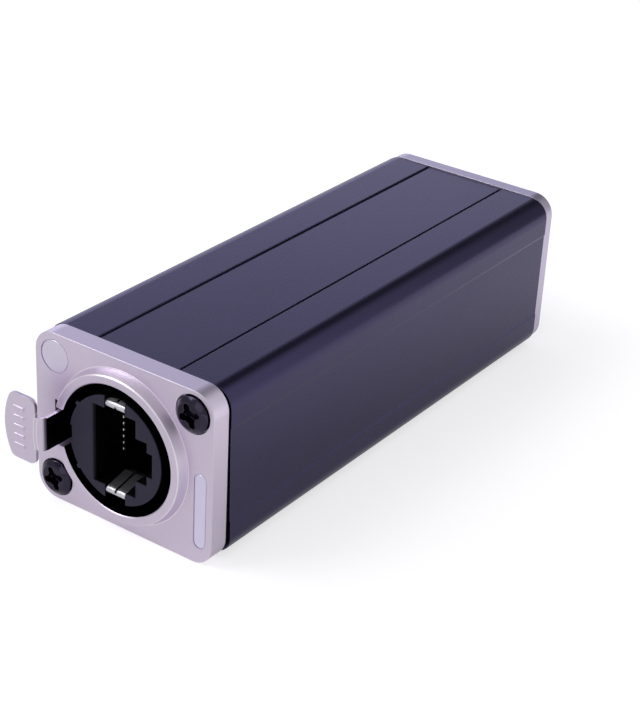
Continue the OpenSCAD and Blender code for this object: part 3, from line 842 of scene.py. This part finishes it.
def make_floor():
    """A white sweep under the part, which keeps its shadow.

    The camera sees it white. Reflections see a painted glow on it that stands in for light on the paper:
    paler to the right of the part and away from it, with painted shade near the part and at one spot before
    the front flange.
    """
    reach = FLOOR_REACH
    mesh = bpy.data.meshes.new("floor")
    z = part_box("front_shell")[0][2]
    corners = [(-reach, -reach, z), (reach, -reach, z), (reach, reach, z), (-reach, reach, z)]
    mesh.from_pydata(corners, [], [(0, 1, 2, 3)])
    floor = bpy.data.objects.new("floor", mesh)
    bpy.context.scene.collection.objects.link(floor)
    material = bpy.data.materials.new("white paper floor")
    material.use_nodes = True
    tree = material.node_tree
    tree.nodes.clear()
    output = new_tree_node(tree, "ShaderNodeOutputMaterial", (600, 0))
    paper = new_tree_node(tree, "ShaderNodeBsdfDiffuse", (0, 100))
    paper.inputs["Color"].default_value = PAPER_TONE
    glow = new_tree_node(tree, "ShaderNodeEmission", (0, -100))
    glow.inputs["Color"].default_value = (1, 1, 1, 1)
    ray = new_tree_node(tree, "ShaderNodeLightPath", (-800, -100))
    mirrored = new_tree_node(tree, "ShaderNodeMath", (-600, -200), operation="ADD", use_clamp=True)
    place = new_tree_node(tree, "ShaderNodeTexCoord", (-1200, -400))
    across = new_tree_node(tree, "ShaderNodeVectorMath", (-1000, -400), operation="DOT_PRODUCT")
    across.inputs[1].default_value = GLOW_SLOPE
    paler = new_tree_node(tree, "ShaderNodeMapRange", (-800, -400))
    paler.inputs["From Min"].default_value = GLOW_FROM_MM
    paler.inputs["From Max"].default_value = GLOW_TO_MM
    paler.inputs["To Min"].default_value = GLOW_LOW
    paler.inputs["To Max"].default_value = GLOW_HIGH
    # Painted shade spot in the floor's glow, seen in reflections before the front flange.
    away = new_tree_node(tree, "ShaderNodeVectorMath", (-1000, -600), operation="DISTANCE")
    away.inputs[1].default_value = (*PAINTED_SHADE_SPOT, z)
    clear = new_tree_node(tree, "ShaderNodeMapRange", (-800, -600), interpolation_type="SMOOTHSTEP")
    clear.inputs["From Min"].default_value = PAINTED_SHADE_SPOT_MM[0] * MM
    clear.inputs["From Max"].default_value = PAINTED_SHADE_SPOT_MM[1] * MM
    uneven = new_tree_node(tree, "ShaderNodeMath", (-600, -400), operation="MULTIPLY")
    dim = new_tree_node(tree, "ShaderNodeMath", (-400, -200), operation="MULTIPLY")
    shown = new_tree_node(tree, "ShaderNodeMath", (-400, -50), operation="MULTIPLY")
    shown.inputs[1].default_value = GLOW_TO_CAMERA
    strength = new_tree_node(tree, "ShaderNodeMath", (-200, -100), operation="ADD")
    both = new_tree_node(tree, "ShaderNodeAddShader", (300, 0))
    link = tree.links.new
    link(ray.outputs["Is Glossy Ray"], mirrored.inputs[0])
    link(ray.outputs["Is Transmission Ray"], mirrored.inputs[1])
    link(mirrored.outputs[0], dim.inputs[0])
    link(place.outputs["Object"], across.inputs[0])
    link(across.outputs["Value"], paler.inputs["Value"])
    link(place.outputs["Object"], away.inputs[0])
    link(away.outputs["Value"], clear.inputs["Value"])
    link(paler.outputs["Result"], uneven.inputs[0])
    link(clear.outputs["Result"], uneven.inputs[1])
    link(uneven.outputs[0], dim.inputs[1])
    link(ray.outputs["Is Camera Ray"], shown.inputs[0])
    link(shown.outputs[0], strength.inputs[0])
    link(dim.outputs[0], strength.inputs[1])
    link(strength.outputs[0], glow.inputs["Strength"])
    link(paper.outputs[0], both.inputs[0])
    link(glow.outputs[0], both.inputs[1])
    link(both.outputs[0], output.inputs["Surface"])
    mesh.materials.append(material)


make_floor()


# Studio light

LOW_SKY = (0.50, 0.50, 0.52, 1)
DARK_GAP = (0.10, 0.10, 0.11, 1)
LEFT_WALL = (0.96, 0.97, 1.22, 1)
RIGHT_WALL = (0.99, 0.99, 1.03, 1)
SOFT_PANEL = (0.42, 0.38, 0.42, 1)
SOFT_PANEL_TOWARD = (0.68, 0.10, 0.72)
SOFT_PANEL_EDGE, SOFT_PANEL_MIDDLE = 0.86, 0.99


def make_world():
    """A pale studio all round.

    Behind the part a dark gap lies between a left wall and a right one, and a greyer panel hangs at
    the upper right.
    """
    world = bpy.data.worlds.new("studio")
    bpy.context.scene.world = world
    world.use_nodes = True
    tree = world.node_tree
    tree.nodes.clear()
    output = new_tree_node(tree, "ShaderNodeOutputWorld", (1000, 0))
    light = new_tree_node(tree, "ShaderNodeBackground", (800, 0))
    place = new_tree_node(tree, "ShaderNodeTexCoord", (-1000, 0))
    axes = new_tree_node(tree, "ShaderNodeSeparateXYZ", (-800, 0))
    link = tree.links.new
    link(place.outputs["Generated"], axes.inputs[0])

    def fade(axis, start, stop, height):
        node = new_tree_node(tree, "ShaderNodeMapRange", (-500, height))
        node.inputs["From Min"].default_value = start
        node.inputs["From Max"].default_value = stop
        link(axes.outputs[axis], node.inputs["Value"])
        return node.outputs["Result"]

    def blend(mask, under, over, place_x):
        node = new_tree_node(tree, "ShaderNodeMix", (place_x, 0), data_type="RGBA")
        link(mask, node.inputs["Factor"])
        for value, socket in ((under, 6), (over, 7)):
            if isinstance(value, tuple):
                node.inputs[socket].default_value = value
            else:
                link(value, node.inputs[socket])
        return node.outputs[2]

    right_side = new_tree_node(tree, "ShaderNodeMath", (-250, 200), operation="MULTIPLY")
    link(fade("X", -0.02, 0.38, 300), right_side.inputs[0])
    link(fade("Y", 0.83, 0.70, 100), right_side.inputs[1])
    left_side = new_tree_node(tree, "ShaderNodeMath", (-250, -100), operation="MULTIPLY")
    link(fade("X", -0.30, -0.41, -100), left_side.inputs[0])
    link(fade("Z", 0.61, 0.38, -250), left_side.inputs[1])
    gap = blend(left_side.outputs[0], DARK_GAP, LEFT_WALL, 0)
    walls = blend(right_side.outputs[0], gap, RIGHT_WALL, 250)
    sky = blend(fade("Y", 0.25, 0.55, -400), LOW_SKY, walls, 500)
    toward = new_tree_node(tree, "ShaderNodeVectorMath", (-500, -600), operation="DOT_PRODUCT")
    toward.inputs[1].default_value = Vector(SOFT_PANEL_TOWARD).normalized()
    panel = new_tree_node(tree, "ShaderNodeMapRange", (-250, -600), interpolation_type="SMOOTHSTEP")
    panel.inputs["From Min"].default_value = SOFT_PANEL_EDGE
    panel.inputs["From Max"].default_value = SOFT_PANEL_MIDDLE
    link(place.outputs["Generated"], toward.inputs[0])
    link(toward.outputs["Value"], panel.inputs["Value"])
    sky = blend(panel.outputs["Result"], sky, SOFT_PANEL, 650)
    link(sky, light.inputs["Color"])
    link(light.outputs[0], output.inputs["Surface"])


def add_softbox(name, place, size, power):
    """A square softbox aimed at the middle of the part."""
    data = bpy.data.lights.new(name, "AREA")
    data.shape = "SQUARE"
    data.size = size
    data.energy = power
    softbox = bpy.data.objects.new(name, data)
    softbox.location = place
    aim = Vector((0, middle_y * MM, 0)) - Vector(place)
    softbox.rotation_mode = "QUATERNION"
    softbox.rotation_quaternion = aim.to_track_quat("-Z", "Y")
    bpy.context.scene.collection.objects.link(softbox)


make_world()
add_softbox("softbox over left", (-0.52, -0.36, 0.72), 0.6, 3.2)
add_softbox("softbox front", (0.15, -0.8, 0.35), 0.5, 0.4)

bpy.context.scene.view_settings.view_transform = "Standard"
